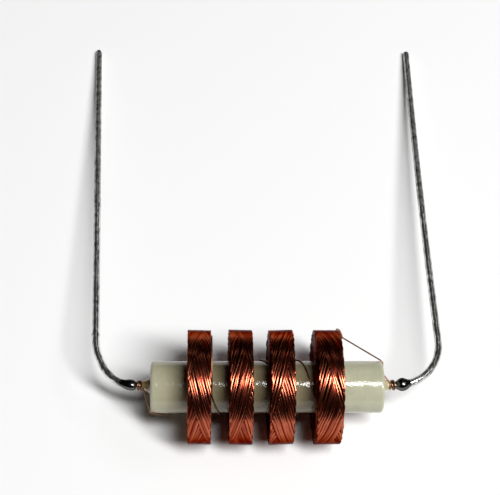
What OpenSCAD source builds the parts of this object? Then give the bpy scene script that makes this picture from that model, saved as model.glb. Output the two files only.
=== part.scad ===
/* [Ceramic form] */
// Diameter of the ceramic form, a quarter of an inch
form_d = 6.35; // [5.5:0.05:8]
// Length of the ceramic form
form_length = 28.3; // [26:0.1:34]
// Radius of the rounded edge at each end of the form
form_edge = 0.4; // [0.2:0.05:0.8]
// Depth of the blind hole that holds each lead
lead_hole_depth = 5; // [3:0.5:8]
// Gap all round a lead in its hole
lead_hole_gap = 0.02; // [0.01:0.01:0.1]
// Distance of the lead holes from the form's axis
lead_hole_offset = 0.25; // [0:0.05:0.5]

/* [Windings] */
// Outside diameter of the four windings
winding_d = 14; // [12:0.1:18]
// Place of each winding's middle along the form
winding_x = [-8.25, -3.25, 1.65, 7.3]; // [-12:0.05:12]
// Width of each winding
winding_w = [2.9, 2.9, 3.0, 3.2]; // [2:0.1:4]
// Diameter of the enamelled winding wire
wire_d = 0.18; // [0.1:0.01:0.2]
// Angle of the laid wire to a plain circle round the form
lay_angle = 13.5; // [10:0.5:20]
// Wires side by side round the rim before one comes round again
lay_count = 30; // [24:1:48]
// Pitch of the layers that show on the flat sides
layer_pitch = 0.3; // [0.2:0.05:0.5]
// Gap between a winding and the form inside it
winding_seat = 0.01; // [0.005:0.005:0.05]

/* [Leads] */
// Diameter of the tinned copper leads
lead_d = 0.88; // [0.6:0.01:1.1]
// Distance from the form's axis to the left lead's tip
left_reach = 57.55; // [40:0.05:70]
// Distance from the form's axis to the right lead's tip
right_reach = 57.7; // [40:0.1:70]
// Radius of the tight first part of the left bend
left_near_bend = 4.4; // [3.5:0.1:8]
// Radius of the tight first part of the right bend
right_near_bend = 5.8; // [3.5:0.05:8]
// Radius of the wide last part of the left bend
left_far_bend = 9.3; // [5:0.1:14]
// Radius of the wide last part of the right bend
right_far_bend = 6.8; // [5:0.1:14]
// Angle through which the first part of each bend turns
near_turn = 56; // [40:1:65]
// Angle through which the whole left bend turns
left_turn = 87.7; // [80:0.1:95]
// Angle through which the whole right bend turns
right_turn = 89.3; // [80:0.1:95]
// Length of the cut taper at each lead's tip
tip_length = 0.3; // [0.1:0.05:0.6]

/* [Joints on the leads] */
// Length of the left solder bead
left_bead_length = 2; // [1.6:0.1:3]
// Length of the right solder bead
right_bead_length = 1.9; // [1.6:0.1:3]
// Largest diameter of the left solder bead
left_bead_d = 1.3; // [1.2:0.05:2]
// Largest diameter of the right solder bead
right_bead_d = 1.6; // [1.2:0.05:2]
// How far the left bead is fullest towards the form, from 0.5 to 1 for a round one
left_bead_lean = 0.6; // [0.5:0.05:1]
// How far the right bead is fullest towards the form, from 0.5 to 1 for a round one
right_bead_lean = 0.9; // [0.5:0.05:1]
// Length of the left cone of cement
left_cement_length = 1; // [0.5:0.05:1.5]
// Length of the right cone of cement
right_cement_length = 0.85; // [0.3:0.05:1.5]
// Diameter of the cement where it meets the form
cement_d = 2.4; // [1.6:0.1:4]
// Turns of winding wire round each lead
wrap_turns = 2.5; // [1:0.25:3]
// Distance along the lead from one turn to the next
wrap_pitch = 0.24; // [0.18:0.01:0.4]
// Gap between the winding wire and what it lies on
wire_seat = 0.01; // [0.005:0.005:0.03]

/* [Hidden] */
$fn = 72;

form_r = form_d / 2;
form_end = form_length / 2;
winding_r = winding_d / 2;
lead_r = lead_d / 2;
wire_r = wire_d / 2;
wire_sides = 6;

// Wire that is bent draws out a hair thinner, which also keeps its arcs inside the
// straight wire that they run into.
bend_thinning = 0.003;
bend_tuck = 0.06;
bend_joint = 0.2;

// The fine wire is wrapped round the lead's neck between the cement and the solder, and
// the bend begins where the wraps end.
wrap_steps = round(10 * wrap_turns);
on_lead = (lead_r + wire_r + 2 * wire_seat) / cos(180 * wrap_turns / wrap_steps);
function wraps_from(cement_length) = cement_length + wire_r + 4 * wire_seat;
function neck(cement_length) = wraps_from(cement_length) + wrap_pitch * wrap_turns + wire_r;
left_neck = neck(left_cement_length);
right_neck = neck(right_cement_length);

// Each lead slopes down from the form's axis until its tip rests on the ground.
left_slope = asin((winding_r - lead_r) / left_reach);
right_slope = asin((winding_r - lead_r) / right_reach);

function unit(v) = v / norm(v);
function along(angle) = [cos(angle), sin(angle)];

// A bend is a tight arc and then a wide one, seen flat, with the form's end at x = 0.
function near_end(neck, near_bend) =
    [neck, lead_hole_offset + near_bend] + near_bend * along(near_turn - 90);
function far_end(neck, near_bend, far_bend, turn) =
    near_end(neck, near_bend) + far_bend * (along(turn - 90) - along(near_turn - 90));
function tip(neck, near_bend, far_bend, turn, reach) =
    let (start = far_end(neck, near_bend, far_bend, turn))
    start + along(turn) * (reach - start[1]) / sin(turn);

left_tip = tip(left_neck, left_near_bend, left_far_bend, left_turn, left_reach);
right_tip = tip(right_neck, right_near_bend, right_far_bend, right_turn, right_reach);

// The origin is on the ground, under the middle of the whole part.
middle_x = (right_tip[0] - left_tip[0]) / 2;
middle_y = (max(left_reach * cos(left_slope), right_reach * cos(right_slope)) - winding_r) / 2;

module on_axis() { translate([-middle_x, -middle_y, winding_r]) children(); }
module along_x() { rotate([0, 90, 0]) children(); }
// The right end as it stands, or the left end turned round to the other side.
module at_end(left) {
    on_axis() mirror([left ? 1 : 0, 0, 0]) rotate([left ? -left_slope : -right_slope, 0, 0])
        translate([form_end, 0, 0]) children();
}

// A round wire of radius r from the hole in the form to the tip.
module lead_wire(r, left) {
    neck = left ? left_neck : right_neck;
    near_bend = left ? left_near_bend : right_near_bend;
    far_bend = left ? left_far_bend : right_far_bend;
    turn = left ? left_turn : right_turn;
    near = near_end(neck, near_bend);
    far = far_end(neck, near_bend, far_bend, turn);
    straight = norm(left ? left_tip - far : right_tip - far) - tip_length;
    inside = lead_hole_depth - lead_hole_gap;
    translate([-inside, lead_hole_offset, 0]) along_x() cylinder(h = inside + neck, r = r);
    arc(near - near_bend * along(near_turn - 90), near_bend, r - bend_thinning,
        0, near_turn, -bend_tuck);
    arc(near - far_bend * along(near_turn - 90), far_bend, r - bend_thinning,
        near_turn, turn, bend_tuck);
    translate([near[0], near[1], 0]) rotate([0, 0, near_turn]) along_x()
        cylinder(h = bend_joint, r = r, center = true);
    translate([far[0], far[1], 0]) rotate([0, 0, turn]) along_x() rotate_extrude()
        polygon([[0, 0], [r, 0], [r, straight], [0.6 * r, straight + tip_length],
                 [0, straight + tip_length]]);
}

// Part of a bend about a centre, from one heading to another, slid along by a little so
// that its outer end reaches into the straight wire and its inner end into the joint.
module arc(centre, bend, r, from, to, slide) {
    translate([centre[0], centre[1], 0]) rotate([0, 0, from - 90 + slide / bend * 180 / PI])
        rotate_extrude(angle = to - from) translate([bend, 0]) circle(r);
}

module ceramic_form() {
    edge = [for (a = [0:22.5:90])
        [form_r - form_edge * (1 - sin(a)), form_end - form_edge * (1 - cos(a))]];
    color("#b4b29c") difference() {
        on_axis() along_x() rotate_extrude() polygon(concat(
            [[0, form_end]], edge, [for (i = [len(edge) - 1:-1:0]) [edge[i][0], -edge[i][1]]],
            [[0, -form_end]]));
        for (left = [true, false])
            at_end(left) translate([-lead_hole_depth, lead_hole_offset, 0]) along_x()
                cylinder(h = lead_hole_depth + form_edge, r = lead_r + lead_hole_gap);
    }
}

module lead_left() { color("#55585a") at_end(true) lead_wire(lead_r, true); }
module lead_right() { color("#55585a") at_end(false) lead_wire(lead_r, false); }

// Cement runs up the lead from the form's end in a hollow cone.
module cement(cone_length) {
    top_r = lead_r + 0.12;
    foot_r = cement_d / 2;
    translate([0, lead_hole_offset, 0]) along_x() difference() {
        rotate_extrude() polygon([
            [0, 0], [foot_r, 0],
            for (t = [0.25:0.25:1]) [top_r + (foot_r - top_r) * (1 - t) ^ 2, cone_length * t],
            [0, cone_length]]);
        translate([0, 0, -lead_r]) cylinder(h = cone_length + lead_d, r = lead_r);
    }
}
module cement_left() { color("#8a6a3c") at_end(true) cement(left_cement_length); }
module cement_right() { color("#8a6a3c") at_end(false) cement(right_cement_length); }

// A drop of solder that froze round the lead where its bend begins.
module bead(left) {
    bead_length = left ? left_bead_length : right_bead_length;
    bead_r = (left ? left_bead_d : right_bead_d) / 2;
    lean = left ? left_bead_lean : right_bead_lean;
    neck = left ? left_neck : right_neck;
    near_bend = left ? left_near_bend : right_near_bend;
    swing = bead_length / 2 / near_bend * 180 / PI;
    centre = [neck, lead_hole_offset + near_bend] + near_bend * along(swing - 90);
    steps = 12;
    difference() {
        translate([centre[0], centre[1], 0]) rotate([0, 0, swing]) along_x() rotate_extrude()
            polygon([for (i = [0:steps]) let (t = i / steps)
                [bead_r * sin(180 * t ^ lean) ^ 0.7, bead_length * (t - 0.5)]]);
        lead_wire(lead_r, left);
    }
}
module solder_left() { color("#3a3d40") at_end(true) bead(true); }
module solder_right() { color("#3a3d40") at_end(false) bead(false); }

// The rim of a winding: each wire is a ridge that runs from one edge to the fold and
// back out to the other edge, so neighbours lie against each other at the lay angle.
rim_across = [-1, -0.88, -0.6, -0.3, 0, 0.3, 0.6, 0.88, 1];
rim_depth = 3 * wire_d;
function rim_drop(u) = abs(u) == 1 ? wire_d : abs(u) > 0.8 ? 0.2 * wire_d : 0;
function rim_point(u, r, angle, width) =
    [u * width / 2, r * cos(angle), r * sin(angle)];

module rim(width, fold) {
    columns = 2 * lay_count;
    sweep = width / 2 / (winding_r * tan(lay_angle)) * 180 / PI;
    rows = len(rim_across) + 2;
    function angle(k, u) = 360 * k / columns + sweep * abs(u - fold);
    points = [for (k = [0:columns - 1]) each concat(
        [for (u = rim_across)
            rim_point(u, winding_r - rim_drop(u) - (k % 2) * wire_r, angle(k, u), width)],
        [for (u = [1, -1]) rim_point(u, winding_r - rim_depth, angle(k, u), width)])];
    faces = [for (k = [0:columns - 1], j = [0:rows - 1])
        let (a = k * rows + j, b = k * rows + (j + 1) % rows,
             c = (k + 1) % columns * rows + (j + 1) % rows, d = (k + 1) % columns * rows + j)
        each [[a, b, c], [a, c, d]]];
    polyhedron(points, faces, convexity = 6);
}

// The layers under the rim, with the edge of each layer a ridge on the flat sides.
module layers(width) {
    inner = form_r + winding_seat;
    outer = winding_r - rim_depth + wire_r;
    half = width / 2 - 0.1 * wire_d;
    count = floor((outer - inner - wire_d) / layer_pitch);
    flank = [for (i = [0:count - 1]) each [
        [inner + i * layer_pitch, half - wire_r], [inner + (i + 0.5) * layer_pitch, half]]];
    last = inner + count * layer_pitch;
    side = concat(flank, [[last, half - wire_r], [last + wire_r, half], [outer, half]]);
    along_x() rotate_extrude() polygon(concat(
        side, [for (i = [len(side) - 1:-1:0]) [side[i][0], -side[i][1]]]));
}

module winding(i, fold) {
    on_axis() translate([winding_x[i], 0, 0]) {
        layers(winding_w[i]);
        rim(winding_w[i], fold);
    }
}
module winding_1() { color("#7a2b14") winding(0, 0); }
module winding_2() { color("#7a2b14") winding(1, 0.3); }
module winding_3() { color("#7a2b14") winding(2, -0.3); }
module winding_4() { color("#7a2b14") winding(3, 0.6); }

// A fine wire carried along a list of points, none of its runs parallel to the form.
module fine_wire(path) {
    count = len(path);
    function ahead(i) = unit(path[min(i + 1, count - 1)] - path[max(i - 1, 0)]);
    points = [for (i = [0:count - 1])
        let (side = unit(cross(ahead(i), [1, 0, 0])), up = cross(side, ahead(i)))
        for (k = [0:wire_sides - 1]) let (turn = 360 * k / wire_sides)
        path[i] + wire_r * (side * cos(turn) + up * sin(turn))];
    walls = [for (i = [0:count - 2], k = [0:wire_sides - 1])
        let (a = i * wire_sides + k, b = i * wire_sides + (k + 1) % wire_sides,
             c = b + wire_sides, d = a + wire_sides)
        each [[a, b, c], [a, c, d]]];
    ends = [[for (k = [wire_sides - 1:-1:0]) k],
            [for (k = [0:wire_sides - 1]) (count - 1) * wire_sides + k]];
    polyhedron(points, concat(walls, ends), convexity = 6);
}

// A place at height r from the form's axis, with angle 0 on top and 90 at the front.
function round_form(x, r, angle) = [x, -r * sin(angle), r * cos(angle)];
function flank_x(i, side) = winding_x[i] + side * (winding_w[i] / 2 + wire_r + wire_seat);

// A run over the form's surface, lifted so that the middles of its steps clear it too.
on_form = form_r + wire_r + wire_seat;
function over_form(x_from, x_to, from, to, steps) =
    [for (s = [0:steps]) let (t = s / steps)
        round_form(x_from + (x_to - x_from) * t, on_form / cos((to - from) / steps / 2),
                   from + (to - from) * t)];

// From the outermost turn down the side of one winding, then over the form to the next.
down_angle = 80;
link_leaves = [40, -110, -105];
link_arrives = [170, -38, 48];
rim_start = winding_r - wire_d;
module link(i) {
    leaves = link_leaves[i];
    arrives = link_arrives[i];
    steps = 8;
    down = [for (s = [0:steps - 1]) let (t = s / steps)
        round_form(flank_x(i, 1), rim_start + (on_form - rim_start) * t,
                   leaves - down_angle * (1 - t))];
    over = over_form(flank_x(i, 1), flank_x(i + 1, -1), leaves, arrives,
                     ceil(abs(arrives - leaves) / 14));
    color("#6b3a22") on_axis() fine_wire(concat(down, over));
}
module link_wire_1() { link(0); }
module link_wire_2() { link(1); }
module link_wire_3() { link(2); }

// The fine wire's turns round a lead's neck, from the form outwards, first over the top
// of the lead; end is -1 at the left and 1 at the right.
function wraps(end, cement_length) = [for (s = [0:wrap_steps])
    let (t = s / wrap_steps, turn = -end * 360 * wrap_turns * t)
    [end * (form_end + wraps_from(cement_length) + wrap_pitch * wrap_turns * t),
     lead_hole_offset + on_lead * sin(turn), on_lead * cos(turn)]];

// It runs over the form's front edge and underneath to the first winding.
start_edge = 91;
start_arrives = 171;
module start_wire() {
    turns = wraps(-1, left_cement_length);
    route = over_form(-form_end, flank_x(0, -1), start_edge, start_arrives, 7);
    color("#6b3a22") on_axis() fine_wire(concat([for (i = [wrap_steps:-1:0]) turns[i]], route));
}

// It leaves the rim of the last winding in the air and bends over the form's back edge.
finish_leaves = -36;
finish_edge = -60;
module finish_wire() {
    leaves = [for (i = [4:-1:0]) round_form(flank_x(3, 1), rim_start, finish_leaves - 5 * i)];
    off_end = form_end + wire_r + wire_seat;
    edge = [round_form(form_end - form_edge / 2, on_form, finish_edge),
            round_form(off_end, form_r - form_edge / 2, finish_edge),
            round_form(off_end, form_r / 2, finish_edge)];
    color("#6b3a22") on_axis() fine_wire(concat(leaves, edge, wraps(1, right_cement_length)));
}

ceramic_form();
lead_left();
lead_right();
cement_left();
cement_right();
solder_left();
solder_right();
winding_1();
winding_2();
winding_3();
winding_4();
start_wire();
link_wire_1();
link_wire_2();
link_wire_3();
finish_wire();
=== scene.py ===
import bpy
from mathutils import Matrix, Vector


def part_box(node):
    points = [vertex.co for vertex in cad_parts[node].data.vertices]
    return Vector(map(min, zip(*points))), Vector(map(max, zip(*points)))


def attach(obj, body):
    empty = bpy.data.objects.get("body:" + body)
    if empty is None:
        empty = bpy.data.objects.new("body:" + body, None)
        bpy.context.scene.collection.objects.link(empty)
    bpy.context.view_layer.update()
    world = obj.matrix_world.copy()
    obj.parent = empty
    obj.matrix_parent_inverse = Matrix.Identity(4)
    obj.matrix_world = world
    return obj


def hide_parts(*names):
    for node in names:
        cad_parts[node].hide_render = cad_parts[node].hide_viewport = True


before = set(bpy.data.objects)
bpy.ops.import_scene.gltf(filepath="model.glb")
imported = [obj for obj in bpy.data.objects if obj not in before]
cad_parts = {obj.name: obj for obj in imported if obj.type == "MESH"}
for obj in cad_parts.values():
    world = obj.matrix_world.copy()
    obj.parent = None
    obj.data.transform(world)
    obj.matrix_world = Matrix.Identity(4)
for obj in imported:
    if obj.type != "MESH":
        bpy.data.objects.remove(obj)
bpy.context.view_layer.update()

import math

import bpy
import numpy as np

# The choke lies on a white table with its leads pointing away from the camera, which looks
# steeply down. All the lengths below are millimetres until a mesh or a lamp is made.
MM = 0.001
form_low, form_high = (np.array(corner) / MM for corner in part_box("ceramic_form"))
form_mid = (form_low + form_high) / 2
form_end = (form_high[0] - form_low[0]) / 2
form_r = (form_high[2] - form_low[2]) / 2

camera = bpy.data.objects.new("camera", bpy.data.cameras.new("camera"))
bpy.context.scene.collection.objects.link(camera)
camera.location = (form_mid + (-8.12, -64.98, 145.95)) * MM
camera.rotation_euler = [math.radians(angle) for angle in (30.143, -1.952, -0.965)]
camera.data.sensor_width = 36
camera.data.lens = 93.6
camera.data.clip_start = 0.005
bpy.context.scene.camera = camera
bpy.context.scene.view_settings.view_transform = "Standard"

# The table is a plain white sheet, lit evenly enough to come out white, with the choke's
# own shadow on it.
floor_size = 20
floor_mesh = bpy.data.meshes.new("table")
floor_mesh.from_pydata([(x * floor_size, y * floor_size, 0) for x, y in
                        ((-1, -1), (1, -1), (1, 1), (-1, 1))], [], [(0, 1, 2, 3)])
table = bpy.data.objects.new("table", floor_mesh)
bpy.context.scene.collection.objects.link(table)


class Value:
    """One socket of a material's nodes. A sum or product with it adds a Math node."""

    def __init__(self, tree, socket=None):
        self.tree = tree
        self.socket = socket

    def node(self, kind, settings=(), inputs=(), out=0):
        """Add a node, give it its settings and then the value or link of each socket."""
        made = self.tree.nodes.new("ShaderNode" + kind)
        for name, value in dict(settings).items():
            setattr(made, name, value)
        for name, value in dict(inputs).items():
            if isinstance(value, Value):
                self.tree.links.new(value.socket, made.inputs[name])
            else:
                made.inputs[name].default_value = value
        return Value(self.tree, made.outputs[out]) if len(made.outputs) else made

    def math(self, operation, a, b=0.0):
        """A Math node on two numbers or values."""
        return self.node("Math", {"operation": operation}, {0: a, 1: b})

    def clamp(self):
        """The value held between 0 and 1."""
        return self.node("Clamp", {}, {"Value": self})

    def __add__(self, other):
        return self.math("ADD", self, other)

    def __sub__(self, other):
        return self.math("SUBTRACT", self, other)

    def __mul__(self, other):
        return self.math("MULTIPLY", self, other)

    def __rsub__(self, other):
        return self.math("SUBTRACT", other, self)

    __radd__ = __add__
    __rmul__ = __mul__


def new_finish(name):
    """An empty material, as a Value whose nodes are still to be added."""
    material = bpy.data.materials.new(name)
    material.use_nodes = True
    material.node_tree.nodes.clear()
    return material, Value(material.node_tree)


def show(at, shader):
    """Make the shader the surface of its material."""
    at.node("OutputMaterial", {}, {"Surface": shader})


white_sheet, at = new_finish("white_sheet")
show(at, at.node("BsdfDiffuse", {}, {"Color": (0.95, 0.95, 0.95, 1)}))
floor_mesh.materials.append(white_sheet)

# One long flat lamp hangs over the table at a slant and gives the copper and the glaze their
# highlights. A small one to its right gives the windings their soft shadows, and a weak one
# behind is there for the leads to mirror. The room round them is dark.


def lamp(name, place, size, turned, watts):
    """A flat lamp, size wide and deep, at a place in metres from the rod."""
    data = bpy.data.lights.new(name, "AREA")
    data.shape = "RECTANGLE"
    data.size, data.size_y = size
    data.energy = watts
    obj = bpy.data.objects.new(name, data)
    bpy.context.scene.collection.objects.link(obj)
    obj.location = form_mid * MM + np.array(place)
    obj.rotation_euler = [math.radians(angle) for angle in turned]


lamp("strip_lamp", (0.44, -0.34, 1.0), (0.8, 0.18), (0, 0, -30), 16.3)
lamp("side_lamp", (0.8, 0.1, 1.0), (0.3, 0.5), (0, 0, 0), 1.4)
lamp("back_lamp", (0.42, 1.0, 1.0), (0.5, 0.26), (0, 0, 0), 0.36)

room = bpy.data.worlds.new("room")
room.use_nodes = True
room.node_tree.nodes.clear()
bpy.context.scene.world = room
at = Value(room.node_tree)
at.node("OutputWorld", {}, {"Surface": at.node("Background", {}, {"Strength": 0.006})})

# The form is a rod of fired ceramic, pale grey-green, with a thin satin glaze that lies a
# little unevenly, so its highlight has a ragged edge. Between the windings and towards its
# left end it is coloured darker and browner. This is partly a varnish stain from the windings
# and partly painted shade where the windings shadow it. It is the CAD's own solid.


def noise(at, scale, detail=2.0, stretch=(1, 1, 1)):
    """Smooth noise from 0 to 1 over the object, scale features a metre, drawn out by stretch."""
    place = at.node("TexCoord", out=3)
    place = at.node("Mapping", {}, {"Vector": place, "Scale": stretch})
    return at.node("TexNoise", {}, {"Vector": place, "Scale": scale, "Detail": detail})


def place_along(at, axis, start, end):
    """A smooth step from 0 to 1 as a point's X, Y or Z goes from start to end, in mm."""
    part = at.node("SeparateXYZ", {}, {"Vector": at.node("TexCoord", out=3)}, out=axis)
    return at.node("MapRange", {"interpolation_type": "SMOOTHSTEP"},
                   {"Value": part, "From Min": start * MM, "From Max": end * MM})


def blend(at, share, first, second):
    """The colour share of the way from first to second."""
    colours = [c if isinstance(c, Value) else (*c, 1) for c in (first, second)]
    return at.node("Mix", {"data_type": "RGBA"}, {0: share, 6: colours[0], 7: colours[1]}, out=2)


ceramic, at = new_finish("glazed_ceramic")
cloud = noise(at, 500, 3)
grain = noise(at, 4000, 2)
body = blend(at, cloud, (0.36, 0.365, 0.255), (0.54, 0.54, 0.39))
body = blend(at, grain * 0.3, body, (0.6, 0.58, 0.42))
# Painted shade and varnish stain together: darker brown between the windings and towards the
# left end.
varnish_and_shade = place_along(at, 0, form_mid[0] - 18, form_mid[0] - 6) \
    - place_along(at, 0, form_mid[0] + 5.5, form_mid[0] + 9.5)
body = blend(at, (varnish_and_shade * (0.55 + 0.45 * cloud)).clamp(), body, (0.18, 0.13, 0.055))
speck = at.node("TexVoronoi", {}, {"Vector": at.node("TexCoord", out=3), "Scale": 700})
body = blend(at, (0.05 - speck).clamp() * 10, body, (0.1, 0.08, 0.06))
waves = at.node("Bump", {}, {"Height": grain + 2 * noise(at, 1500, 2), "Strength": 0.6,
                             "Distance": 0.00003})
show(at, at.node("BsdfPrincipled", {}, {
    "Base Color": body, "Roughness": 0.06 + 0.12 * cloud, "IOR": 1.5, "Normal": waves}))
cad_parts["ceramic_form"].data.materials.clear()
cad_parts["ceramic_form"].data.materials.append(ceramic)

# The leads are tinned copper wire, cemented into a blind hole in each end of the form and
# bent over towards the back. Pliers left marks round them, and the tinning is dull, mottled
# and dirtier towards the tips. The left tip was cut aslant, and the right one is rounded.
lead_d = 0.88
hole_depth = 4.98
hole_offset = 0.25
near_turn = math.radians(56)
# The drawn wire is a little uneven, with a bump or hollow every so often along it.
drawn_step = 0.7
drawn_depth = 0.006
drawn_under = 0.004
mark_half = 0.22
tip_round = 0.4
tip_cut = 0.6
# Rings of so many points stand so far apart along a lead, its bends and its end in the hole.
lead_sides = 32
lead_step = 0.1
bends_length = 15
# The fine wire is wrapped round each lead's neck, between the cement and the bend.
fine_d = 0.18
wraps = {"turns": 2.5, "pitch": 0.24}
leads = {
    "left": {"side": -1, "cement": 1.0, "near": 4.4, "far": 9.3, "turn": math.radians(87.7),
             "reach": 57.55, "bow": 0.0, "aslant": 0.2,
             "marks": ((28.4, 0.04), (29.5, 0.03), (50.0, 0.09))},
    "right": {"side": 1, "cement": 0.85, "near": 5.8, "far": 6.8, "turn": math.radians(89.3),
              "reach": 57.7, "bow": 0.012, "aslant": 0,
              "marks": ((28.5, 0.03), (39.0, 0.03))},
}
for lead in leads.values():
    lead["wraps_from"] = lead["cement"] + fine_d / 2 + 0.04
    lead["neck"] = lead["wraps_from"] + wraps["turns"] * wraps["pitch"] + fine_d / 2


def lead_line(lead, count):
    """Points at equal steps along a lead, in the plane of its bend, and its heading there.
    The heading turns evenly along each of the two arcs, swings by half a cosine wave along
    the straight, which bows it, and the line is the heading's integral."""
    rise = hole_offset + lead["near"] * (1 - math.cos(near_turn)) \
        + lead["far"] * (math.cos(near_turn) - math.cos(lead["turn"]))
    knots = np.cumsum([0, hole_depth + lead["neck"], lead["near"] * near_turn,
                       lead["far"] * (lead["turn"] - near_turn),
                       (lead["reach"] - rise) / math.sin(lead["turn"])])
    s = np.linspace(0, knots[-1], count)
    u = np.clip((s - knots[3]) / (knots[4] - knots[3]), 0, 1)
    heading = np.interp(s, knots[:4], [0, 0, near_turn, lead["turn"]]) \
        + lead["bow"] * np.where(u > 0, np.cos(np.pi * u), 0)
    step = s[1] - s[0]
    middle = (heading[1:] + heading[:-1]) / 2
    along = np.concatenate([[0], np.cumsum(np.cos(middle)) * step]) - hole_depth
    out = np.concatenate([[0], np.cumsum(np.sin(middle)) * step]) + hole_offset
    return s - hole_depth, along, out, heading


def place_end(lead, along, out, up):
    """The point along the form's axis, out from it and up from the plane of the bend, which
    slopes down from the form until the lead's tip rests on the table."""
    slope = math.asin((form_mid[2] - lead_d / 2) / lead["reach"])
    return np.stack([form_mid[0] + lead["side"] * (form_end + along),
                     form_mid[1] + out * math.cos(slope) + up * math.sin(slope),
                     form_mid[2] - out * math.sin(slope) + up * math.cos(slope)], -1)


def ring_along(lead, along, out, heading, wide, thick):
    """Rings round the lead's line, a row each: wide is the radius in the plane of the bend
    and thick the radius across it, as arrays of rings by points."""
    phi = np.linspace(0, 2 * np.pi, wide.shape[1], endpoint=False)
    across = wide * np.cos(phi)
    return place_end(lead, along[:, None] - across * np.sin(heading)[:, None],
                     out[:, None] + across * np.cos(heading)[:, None], thick * np.sin(phi))


def skin(name, rings, finish, closed=False):
    """A mesh through a grid of points: each row is a ring, every ring is joined to the next
    by four-sided faces, and the ends are closed by flat ones or by joining last to first."""
    count, around = rings.shape[:2]
    index = np.arange(count * around).reshape(count, around)
    below = index if closed else index[:-1]
    above = np.roll(index, -1, 0) if closed else index[1:]
    quads = np.stack([below, np.roll(below, -1, 1), np.roll(above, -1, 1), above], -1)
    faces = quads.reshape(-1, 4).tolist()
    if not closed:
        faces += [index[0, ::-1].tolist(), index[-1].tolist()]
    mesh = bpy.data.meshes.new(name)
    mesh.from_pydata(rings.reshape(-1, 3) * MM, [], faces)
    return add_piece(name, mesh, finish)


def add_piece(name, mesh, finish):
    """Give a mesh its finish and make it a smooth piece that rides on the part's one body."""
    mesh.materials.append(finish)
    mesh.shade_smooth()
    obj = bpy.data.objects.new(name, mesh)
    bpy.context.scene.collection.objects.link(obj)
    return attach(obj, "root")


tinning, at = new_finish("tinned_copper")
cloud = noise(at, 1100, 4)
flecks = noise(at, 3000, 3, (1, 0.5, 1))
dirt = place_along(at, 1, form_mid[1] + 27.5, form_mid[1] + 28.5) * 0.3
dull = place_along(at, 1, form_mid[1] + 6, form_mid[1] + 14)
bright = ((0.5 * cloud + 0.5 * flecks - 0.37) * 5).clamp() * (1 - dirt)
metal = blend(at, bright, (0.25, 0.25, 0.235), (0.98, 0.98, 0.95))
neck = place_along(at, 0, form_mid[0] - form_end - 2.1, form_mid[0] - form_end - 1.6) \
    - place_along(at, 0, form_mid[0] + form_end + 1.4, form_mid[0] + form_end + 1.9)
metal = blend(at, neck * (0.6 + 0.4 * cloud), metal, (0.16, 0.09, 0.04))
pits = at.node("Bump", {}, {"Height": flecks + cloud, "Strength": 1.0, "Distance": 0.00006})
show(at, at.node("BsdfPrincipled", {}, {
    "Base Color": metal, "Metallic": 0.95,
    "Roughness": 0.1 + 0.12 * flecks + 0.05 * dull + 0.4 * dirt,
    "Specular Tint": (0.1, 0.1, 0.1, 1), "Normal": pits}))

for name, lead in leads.items():
    count = int((lead["reach"] + bends_length) / lead_step)
    s, along, out, heading = lead_line(lead, count)
    phi = np.linspace(0, 2 * np.pi, lead_sides, endpoint=False)
    left = (s[-1] - s)[:, None]
    rng = np.random.default_rng(len(name))
    uneven_at = np.arange(s[0], s[-1] + 1, drawn_step)
    uneven = np.interp(s, uneven_at, rng.normal(0, drawn_depth, len(uneven_at)))
    radius = lead_d / 2 - drawn_under + uneven[:, None] + 0 * phi
    for mark, height in lead["marks"]:
        radius += height * np.exp(-((left - mark) / mark_half) ** 2) * np.abs(np.cos(phi)) ** 6
    radius[s < 0] = lead_d / 2 - drawn_under
    rounded = np.sqrt(1 - np.clip(1 - left / tip_round, 0, 0.95) ** 2)
    cut = 1 - lead["aslant"] * np.clip(1 - left / tip_cut, 0, 1) * (1 + np.cos(phi))
    wide, thick = radius * rounded * cut, radius * rounded
    piece = skin(f"lead_{name}_wire",
                 ring_along(lead, along, out, heading, wide, thick)[:, ::lead["side"]], tinning)
    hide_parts("lead_" + name)

# A collar of cement runs up each lead from the end of the form. It crept out of the hole in
# a hollow cone and set unevenly, brown and half clear at the left. The right one is coloured
# paler, partly as a paler cement and partly as painted light for the brighter right end.
cement_d = 2.4
cement_lip = 0.12
liner_gap = 0.002


def sleeve(name, lead, start, length, outer, bore, finish, rows=40, around=64):
    """A closed sleeve round a lead: its outer radius is outer(t, phi) for t from 0 to 1
    along it, and it comes back along the lead inside, at the radius of the bore."""
    s, along, out, heading = lead_line(lead, 4000)
    t = np.linspace(0, 1, rows)
    place = start + length * t
    line = [np.interp(place, s, values) for values in (along, out, heading)]
    phi = np.linspace(0, 2 * np.pi, around, endpoint=False)
    outside = np.maximum(outer(t[:, None], phi), bore + 0.004)
    wall = ring_along(lead, *line, outside, outside)
    inner = np.full((rows, around), bore)
    lining = ring_along(lead, *line, inner, inner)[::-1]
    rings = np.concatenate([wall, lining])[:, ::lead["side"]]
    return skin(name, rings, finish, closed=True)


def collar(t, phi):
    """A hollow cone that narrows with the square of the way up, with lumps all round it."""
    lumps = 0.05 * np.sin(3 * phi + 4 * t) + 0.03 * np.sin(7 * phi) \
        + 0.04 * np.cos(5 * phi + 9 * t)
    lip = lead_d / 2 + cement_lip
    return lip + (cement_d / 2 - lip) * (1 - t) ** 2 * (1 + 2 * lumps)


# The right collar's paler colours are partly painted light, for the brighter right end of the
# form.
for name, dark, pale in (("left", (0.10, 0.045, 0.015), (0.42, 0.27, 0.12)),
                         ("right", (0.26, 0.19, 0.08), (0.66, 0.60, 0.38))):
    cement, at = new_finish(f"cement_{name}")
    cloud = noise(at, 1500, 3)
    show(at, at.node("BsdfPrincipled", {}, {
        "Base Color": blend(at, cloud, dark, pale), "Roughness": 0.2 + 0.3 * cloud,
        "Coat Weight": 0.5, "Subsurface Weight": 0.4, "Subsurface Scale": 0.0005,
        "Normal": at.node("Bump", {}, {"Height": cloud, "Strength": 0.5, "Distance": 0.0001})}))
    piece = sleeve("cement_collar_" + name, leads[name], 0.0, leads[name]["cement"], collar,
                   lead_d / 2 + liner_gap, cement)
    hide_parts("cement_" + name)

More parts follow.
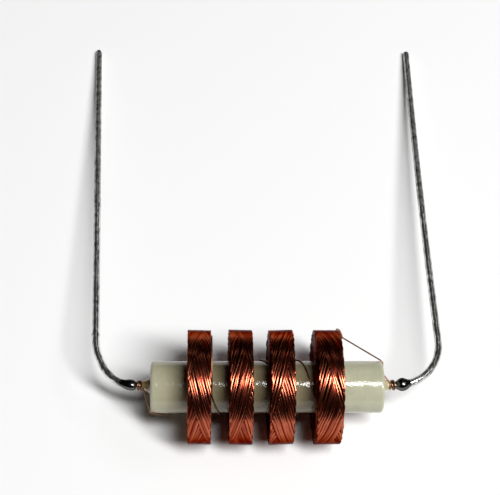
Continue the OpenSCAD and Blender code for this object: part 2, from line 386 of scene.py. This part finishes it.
# Each winding is one fine enamelled wire, laid in a zigzag from side to side as the form
# turns, so that it lies in crossed layers, with varnish between its strands. The outer layer
# is laid here in full, and the inner ones only where they turn back at the flat sides.
strands = 35
layer_step = 0.34
crest_wide = 0.145
crest_tall = 0.045
varnish = 0.018
# A winding isn't quite true, and each leg of the zigzag strays a little from its place.
rim_wobble = 0.03
fold_jitter = 0.006
leg_drift = 0.07
edge_jitter = 0.03
height_jitter = 0.005
# The shares of a leg over which it dips under its neighbours and comes up again.
sink_in = 0.05
come_up = 0.06
# The points round a crest are closest on its top, which is what stands out of the varnish.
crest_section = np.radians([0, 20, 40, 60, 85, 180, -85, -60, -40, -20])
round_section = np.radians(np.arange(0, 360, 72))
leg_rings = 49
bend_reach = 8


def zigzag(t):
    """A wave from -1 up to 1 and back for each whole t, straight between rounded turns:
    the arcsine of a sine that falls just short of one."""
    sharp = 0.994
    return np.arcsin(sharp * np.sin(2 * np.pi * (t - 0.25))) / math.asin(sharp)


def ease(t):
    """A smooth step from 0 to 1 as t goes from 0 to 1."""
    t = np.clip(t, 0, 1)
    return t * t * (3 - 2 * t)


def swell(angle, x):
    """How far a winding's rim stands out of true, by slow waves that differ at its sides."""
    return rim_wobble * (np.sin(2 * angle + 1) + x * np.sin(3 * angle + 2) - 1
                         + 0.5 * np.sin(7 * angle))


def lay_wire(layer, width, outer, wide, rng):
    """Angle, place along the form and radius of the wire's middle through one layer, a row
    a leg. A leg sets out under the wire laid after it, and comes up a wire's thickness to
    lie on top once it has passed the last of it; then the wire turns back and dips again."""
    legs = 2 * strands
    leg = np.arange(legs)[:, None] - layer * legs
    q = np.linspace(0, 1, leg_rings)[None, :-1]
    half_turns = (leg + q) / 2
    knots = np.arange(-1, 2 * legs + 3) / 2
    at_knot = leg[0] + knots
    place = (leg + q).ravel()
    shift = np.interp(place, at_knot, rng.normal(0, fold_jitter, len(knots))).reshape(legs, -1)
    drift = np.interp(place, at_knot, rng.normal(0, leg_drift, len(knots))).reshape(legs, -1)
    edge = np.interp(place, np.arange(legs + 1) + leg[0],
                     rng.normal(0, edge_jitter, legs + 1)).reshape(legs, -1)
    half = width / 2 - wide - 0.02 + edge
    x = half * zigzag(half_turns + shift) + drift * (1 - q) * q * 4
    x = np.clip(x, wide - width / 2, width / 2 - wide)
    clear = (legs - np.arange(legs)[:, None]) / (2 * (strands + 1))
    covered = ease(q / sink_in) * ease((clear - q) / come_up + 0.5)
    radius = outer - fine_d / 2 - layer * layer_step - crest_tall * covered \
        + np.interp(place, at_knot, rng.normal(0, height_jitter, len(knots))).reshape(legs, -1)
    angle = (leg + q) * np.pi / 2 * (1 + 1 / strands)
    return np.stack([angle, x, radius + swell(angle, x)])


def tube_rings(middle, up, section, tall, wide):
    """Rings round each line of points in an array of lines, each an ellipse in the plane
    across the wire, tall in the part of up that is square to the wire and wide beside it.
    The section gives the angles of its points, from up."""
    ahead = np.gradient(middle, axis=-2)
    ahead /= np.linalg.norm(ahead, axis=-1, keepdims=True)
    up = up - (up * ahead).sum(-1, keepdims=True) * ahead
    up /= np.linalg.norm(up, axis=-1, keepdims=True)
    side = np.cross(ahead, up)
    phi = section[:, None]
    return middle[..., None, :] + tall * np.cos(phi) * up[..., None, :] \
        + wide * np.sin(phi) * side[..., None, :]


def wire_on_form(angle, x, radius, section, tall, wide):
    """Tubes whose middle is at an angle round the form, a place along it and a radius."""
    out = np.stack([np.zeros_like(angle), -np.sin(angle), np.cos(angle)], -1)
    middle = np.stack([x, 0 * x, 0 * x], -1) + radius[..., None] * out
    return tube_rings(middle, out, section, tall, wide)


def tube_faces(rings, start):
    """The faces of many separate tubes, an array of tubes by rings by points: side faces
    between neighbouring rings, and a flat face at each end."""
    tubes, count, around = rings.shape[:3]
    index = start + np.arange(tubes * count * around).reshape(tubes, count, around)
    below, above = index[:, :-1], index[:, 1:]
    quads = np.stack([below, np.roll(below, -1, 2), np.roll(above, -1, 2), above], -1)
    return quads.reshape(-1, 4).tolist() + index[:, 0, ::-1].tolist() + index[:, -1].tolist()


def core_rings(width, outer, around=180):
    """The varnished body of a winding behind its crests: a ring with a flat section."""
    inner = form_r + 0.01
    profile = np.array([[-width / 2, inner], [-width / 2, outer], [width / 2, outer],
                        [width / 2, inner]])
    turn = np.linspace(0, 2 * np.pi, around, endpoint=False)
    x = np.broadcast_to(profile[:, 0], (around, 4))
    turn = turn[:, None]
    radius = profile[:, 1] + np.where(profile[:, 1] > inner, swell(turn, x), 0)
    return np.stack([x, -radius * np.sin(turn), radius * np.cos(turn)], -1)


copper, at = new_finish("enamelled_copper")
strand = at.node("Attribute", {"attribute_name": "strand"}, out=2)
cloud = noise(at, 1200, 2)
share = (strand * (0.6 + 0.8 * cloud)).clamp()
ripples = at.node("Bump", {}, {"Height": noise(at, 6000, 1, (1, 0.3, 0.5)), "Strength": 0.3,
                               "Distance": 0.00003})
show(at, at.node("BsdfPrincipled", {}, {
    "Base Color": blend(at, share, (0.14, 0.016, 0.009), (0.5, 0.13, 0.068)),
    "Metallic": 1.0, "Roughness": 0.25 - 0.05 * share, "Normal": ripples,
    "Specular Tint": (0.22, 0.24, 0.26, 1)}))

windings = {}
for number, end_angle in ((1, 20), (2, 110), (3, 60), (4, 150)):
    node = f"winding_{number}"
    low, high = (np.array(corner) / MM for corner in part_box(node))
    width = high[0] - low[0]
    outer = (high[2] - low[2]) / 2
    windings[number] = {"x": (low[0] + high[0]) / 2, "half": width / 2, "outer": outer}
    rng = np.random.default_rng(number)
    cos, sin = math.cos(math.radians(end_angle)), math.sin(math.radians(end_angle))
    turned = np.array([[1, 0, 0], [0, cos, sin], [0, -sin, cos]])
    full = lay_wire(0, width, outer + fine_d / 2 - crest_tall, crest_wide, rng)
    outer_rings = wire_on_form(*full.reshape(3, 1, -1), crest_section, crest_tall, crest_wide)
    deep = np.concatenate([lay_wire(layer, width, outer, fine_d / 2, rng) for layer in range(
        int((outer - form_r) / layer_step) - 1, 0, -1)], 1)
    deep = deep.reshape(3, -1)
    turn_at = np.arange(leg_rings - 1, deep.shape[1] - leg_rings, leg_rings - 1)
    bends = deep[:, turn_at[:, None] + np.arange(-bend_reach, bend_reach + 1, 2)]
    bend_rings = wire_on_form(*bends, round_section, fine_d / 2, fine_d / 2)
    core = core_rings(width - 1.1 * fine_d, outer - varnish)
    flat = [points.reshape(-1, 3) for points in (core, outer_rings, bend_rings)]
    starts = np.cumsum([0] + [len(points) for points in flat])
    index = np.arange(starts[1]).reshape(core.shape[:2])
    following = np.roll(index, -1, 0)
    faces = np.stack([index, following, np.roll(following, -1, 1), np.roll(index, -1, 1)], -1)
    faces = faces.reshape(-1, 4).tolist()
    faces += tube_faces(outer_rings, starts[1]) + tube_faces(bend_rings, starts[2])
    mesh = bpy.data.meshes.new(node + "_wire")
    shift = np.array([windings[number]["x"], form_mid[1], form_mid[2]])
    mesh.from_pydata((np.concatenate(flat) @ turned + shift) * MM, [], faces)
    leg_points = (leg_rings - 1) * len(crest_section)
    bend_points = bend_rings.shape[1] * len(round_section)
    tint = np.concatenate([
        np.zeros(starts[1]), np.repeat(rng.uniform(0.3, 1, full.shape[1]), leg_points),
        np.repeat(rng.uniform(0.2, 0.8, len(bend_rings)), bend_points)])
    mesh.attributes.new("strand", "FLOAT", "POINT").data.foreach_set("value", tint)
    piece = add_piece(node + "_wire", mesh, copper)
    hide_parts(node)

# Drops of solder hold the fine wire's ends to the leads, just where the bends begin. They
# are bright and black by turns, as any small mirror is.
solder, at = new_finish("solder")
cloud = noise(at, 1200, 2)
show(at, at.node("BsdfPrincipled", {}, {
    "Base Color": (0.13, 0.13, 0.127, 1), "Metallic": 1.0, "Roughness": 0.14 + 0.1 * cloud,
    "Specular Tint": (0.03, 0.03, 0.03, 1),
    "Normal": at.node("Bump", {}, {"Height": cloud, "Strength": 0.2, "Distance": 0.0001})}))

for name, length, fullest, lean in (("left", 2.0, 0.60, 0.6), ("right", 1.9, 0.76, 0.9)):
    def drop(t, phi):
        """A drop as thick as a sine of the way along, fullest towards the form. It is added
        to the lead's radius in cubes, so that it runs out smoothly on the lead."""
        bulge = fullest * np.sin(np.pi * t ** lean) ** 0.7 * (1 + 0.03 * np.sin(phi + 3 * t))
        return (bulge ** 3 + (lead_d / 2) ** 3) ** (1 / 3)

    piece = sleeve("solder_drop_" + name, leads[name], leads[name]["neck"], length, drop,
                   lead_d / 2 + liner_gap, solder)
    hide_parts("solder_" + name)

# One end of the wire leaves the left lead, runs over the form's front edge and under it to
# the first winding. A single wire links each winding to the next, down the side of one and
# over the form to the other, and the last comes off the rim in the air to the right lead.
seat = 0.01
fine_section = np.radians(np.arange(0, 360, 36))
on_form = form_r + fine_d / 2 + seat
rim_start = windings[4]["outer"] - fine_d
fine_wire, at = new_finish("fine_wire")
cloud = noise(at, 2500, 2)
show(at, at.node("BsdfPrincipled", {}, {
    "Base Color": blend(at, cloud, (0.14, 0.055, 0.03), (0.5, 0.25, 0.13)), "Metallic": 1.0,
    "Roughness": 0.25 + 0.2 * cloud}))


def round_form(x, radius, angle):
    """Points at places along the form, radii and angles in degrees, 90 being the front."""
    x, radius, angle = np.broadcast_arrays(x, radius, np.radians(angle))
    return np.stack([x, form_mid[1] - radius * np.sin(angle),
                     form_mid[2] + radius * np.cos(angle)], -1)


def beside(number, side):
    """The place along the form of a fine wire that lies on a winding's flat side, -1 or 1."""
    winding = windings[number]
    return winding["x"] + side * (winding["half"] + fine_d / 4)


def wrap_lead(lead, count=120):
    """A helix round the lead's neck from the form outwards, first over the top of it."""
    turn = -lead["side"] * 2 * np.pi * wraps["turns"] * np.linspace(0, 1, count)
    along = lead["wraps_from"] + wraps["pitch"] * (np.abs(turn) / 2 / np.pi
                                                   + 0.3 * np.sin(1.3 * turn))
    radius = lead_d / 2 + fine_d / 2 + 2 * seat + 0.05 * np.sin(turn / 2) ** 2
    return np.stack([form_mid[0] + lead["side"] * (form_end + along),
                     form_mid[1] + hole_offset + radius * np.sin(turn),
                     form_mid[2] + radius * np.cos(turn)], -1)


def fine_piece(name, route, rounding=0.25, step=0.04):
    """A wire along a broken line: the line is cut into equal steps, and each point then
    moves to the mean of its neighbours as far as the rounding, which rounds the corners."""
    run = np.concatenate([[0], np.cumsum(np.linalg.norm(np.diff(route, axis=0), axis=1))])
    line = np.stack([np.interp(np.arange(0, run[-1], step), run, values)
                     for values in route.T], -1)
    reach = int(rounding / step)
    padded = np.pad(line, ((reach, reach), (0, 0)), mode="reflect", reflect_type="odd")
    window = np.ones(2 * reach + 1) / (2 * reach + 1)
    line = np.stack([np.convolve(values, window, "valid") for values in padded.T], -1)
    away = line - form_mid
    away[:, 0] = 0
    rings = tube_rings(line, away, fine_section, fine_d / 2, fine_d / 2)
    piece = skin(name + "_run", rings, fine_wire)
    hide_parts(name)


fine_piece("start_wire", np.concatenate([
    wrap_lead(leads["left"])[::-1],
    round_form(np.linspace(form_mid[0] - form_end, beside(1, -1), 60), on_form,
               np.linspace(91, 171, 60))]), rounding=0.12)

down = np.linspace(0, 1, 40)
down_sweep = 80
for number, leaves, arrives in ((1, 40, 170), (2, -110, -38), (3, -105, 48)):
    fine_piece(f"link_wire_{number}", np.concatenate([
        round_form(beside(number, 1), rim_start + (on_form - rim_start) * down,
                   leaves - down_sweep * (1 - down)),
        round_form(np.linspace(beside(number, 1), beside(number + 1, -1), 60)[1:], on_form,
                   np.linspace(leaves, arrives, 60)[1:])]))

# The last wire makes a small loop on the rim before it leaves it.
off_end = form_mid[0] + form_end + fine_d / 2 + seat
loop_in = np.array([0.4, 0.25, 0.1])
loop_up = np.array([0, 0.3, 0.2])
fine_piece("finish_wire", np.concatenate([
    round_form(beside(4, 1) - loop_in, rim_start + loop_up, np.array([-76, -68, -60])),
    round_form(beside(4, 1), rim_start, np.linspace(-52, -36, 20)),
    round_form(np.array([off_end - 0.3, off_end, off_end]),
               np.array([on_form, form_r - 0.2, form_r / 2]), -60),
    wrap_lead(leads["right"])]), rounding=0.12)
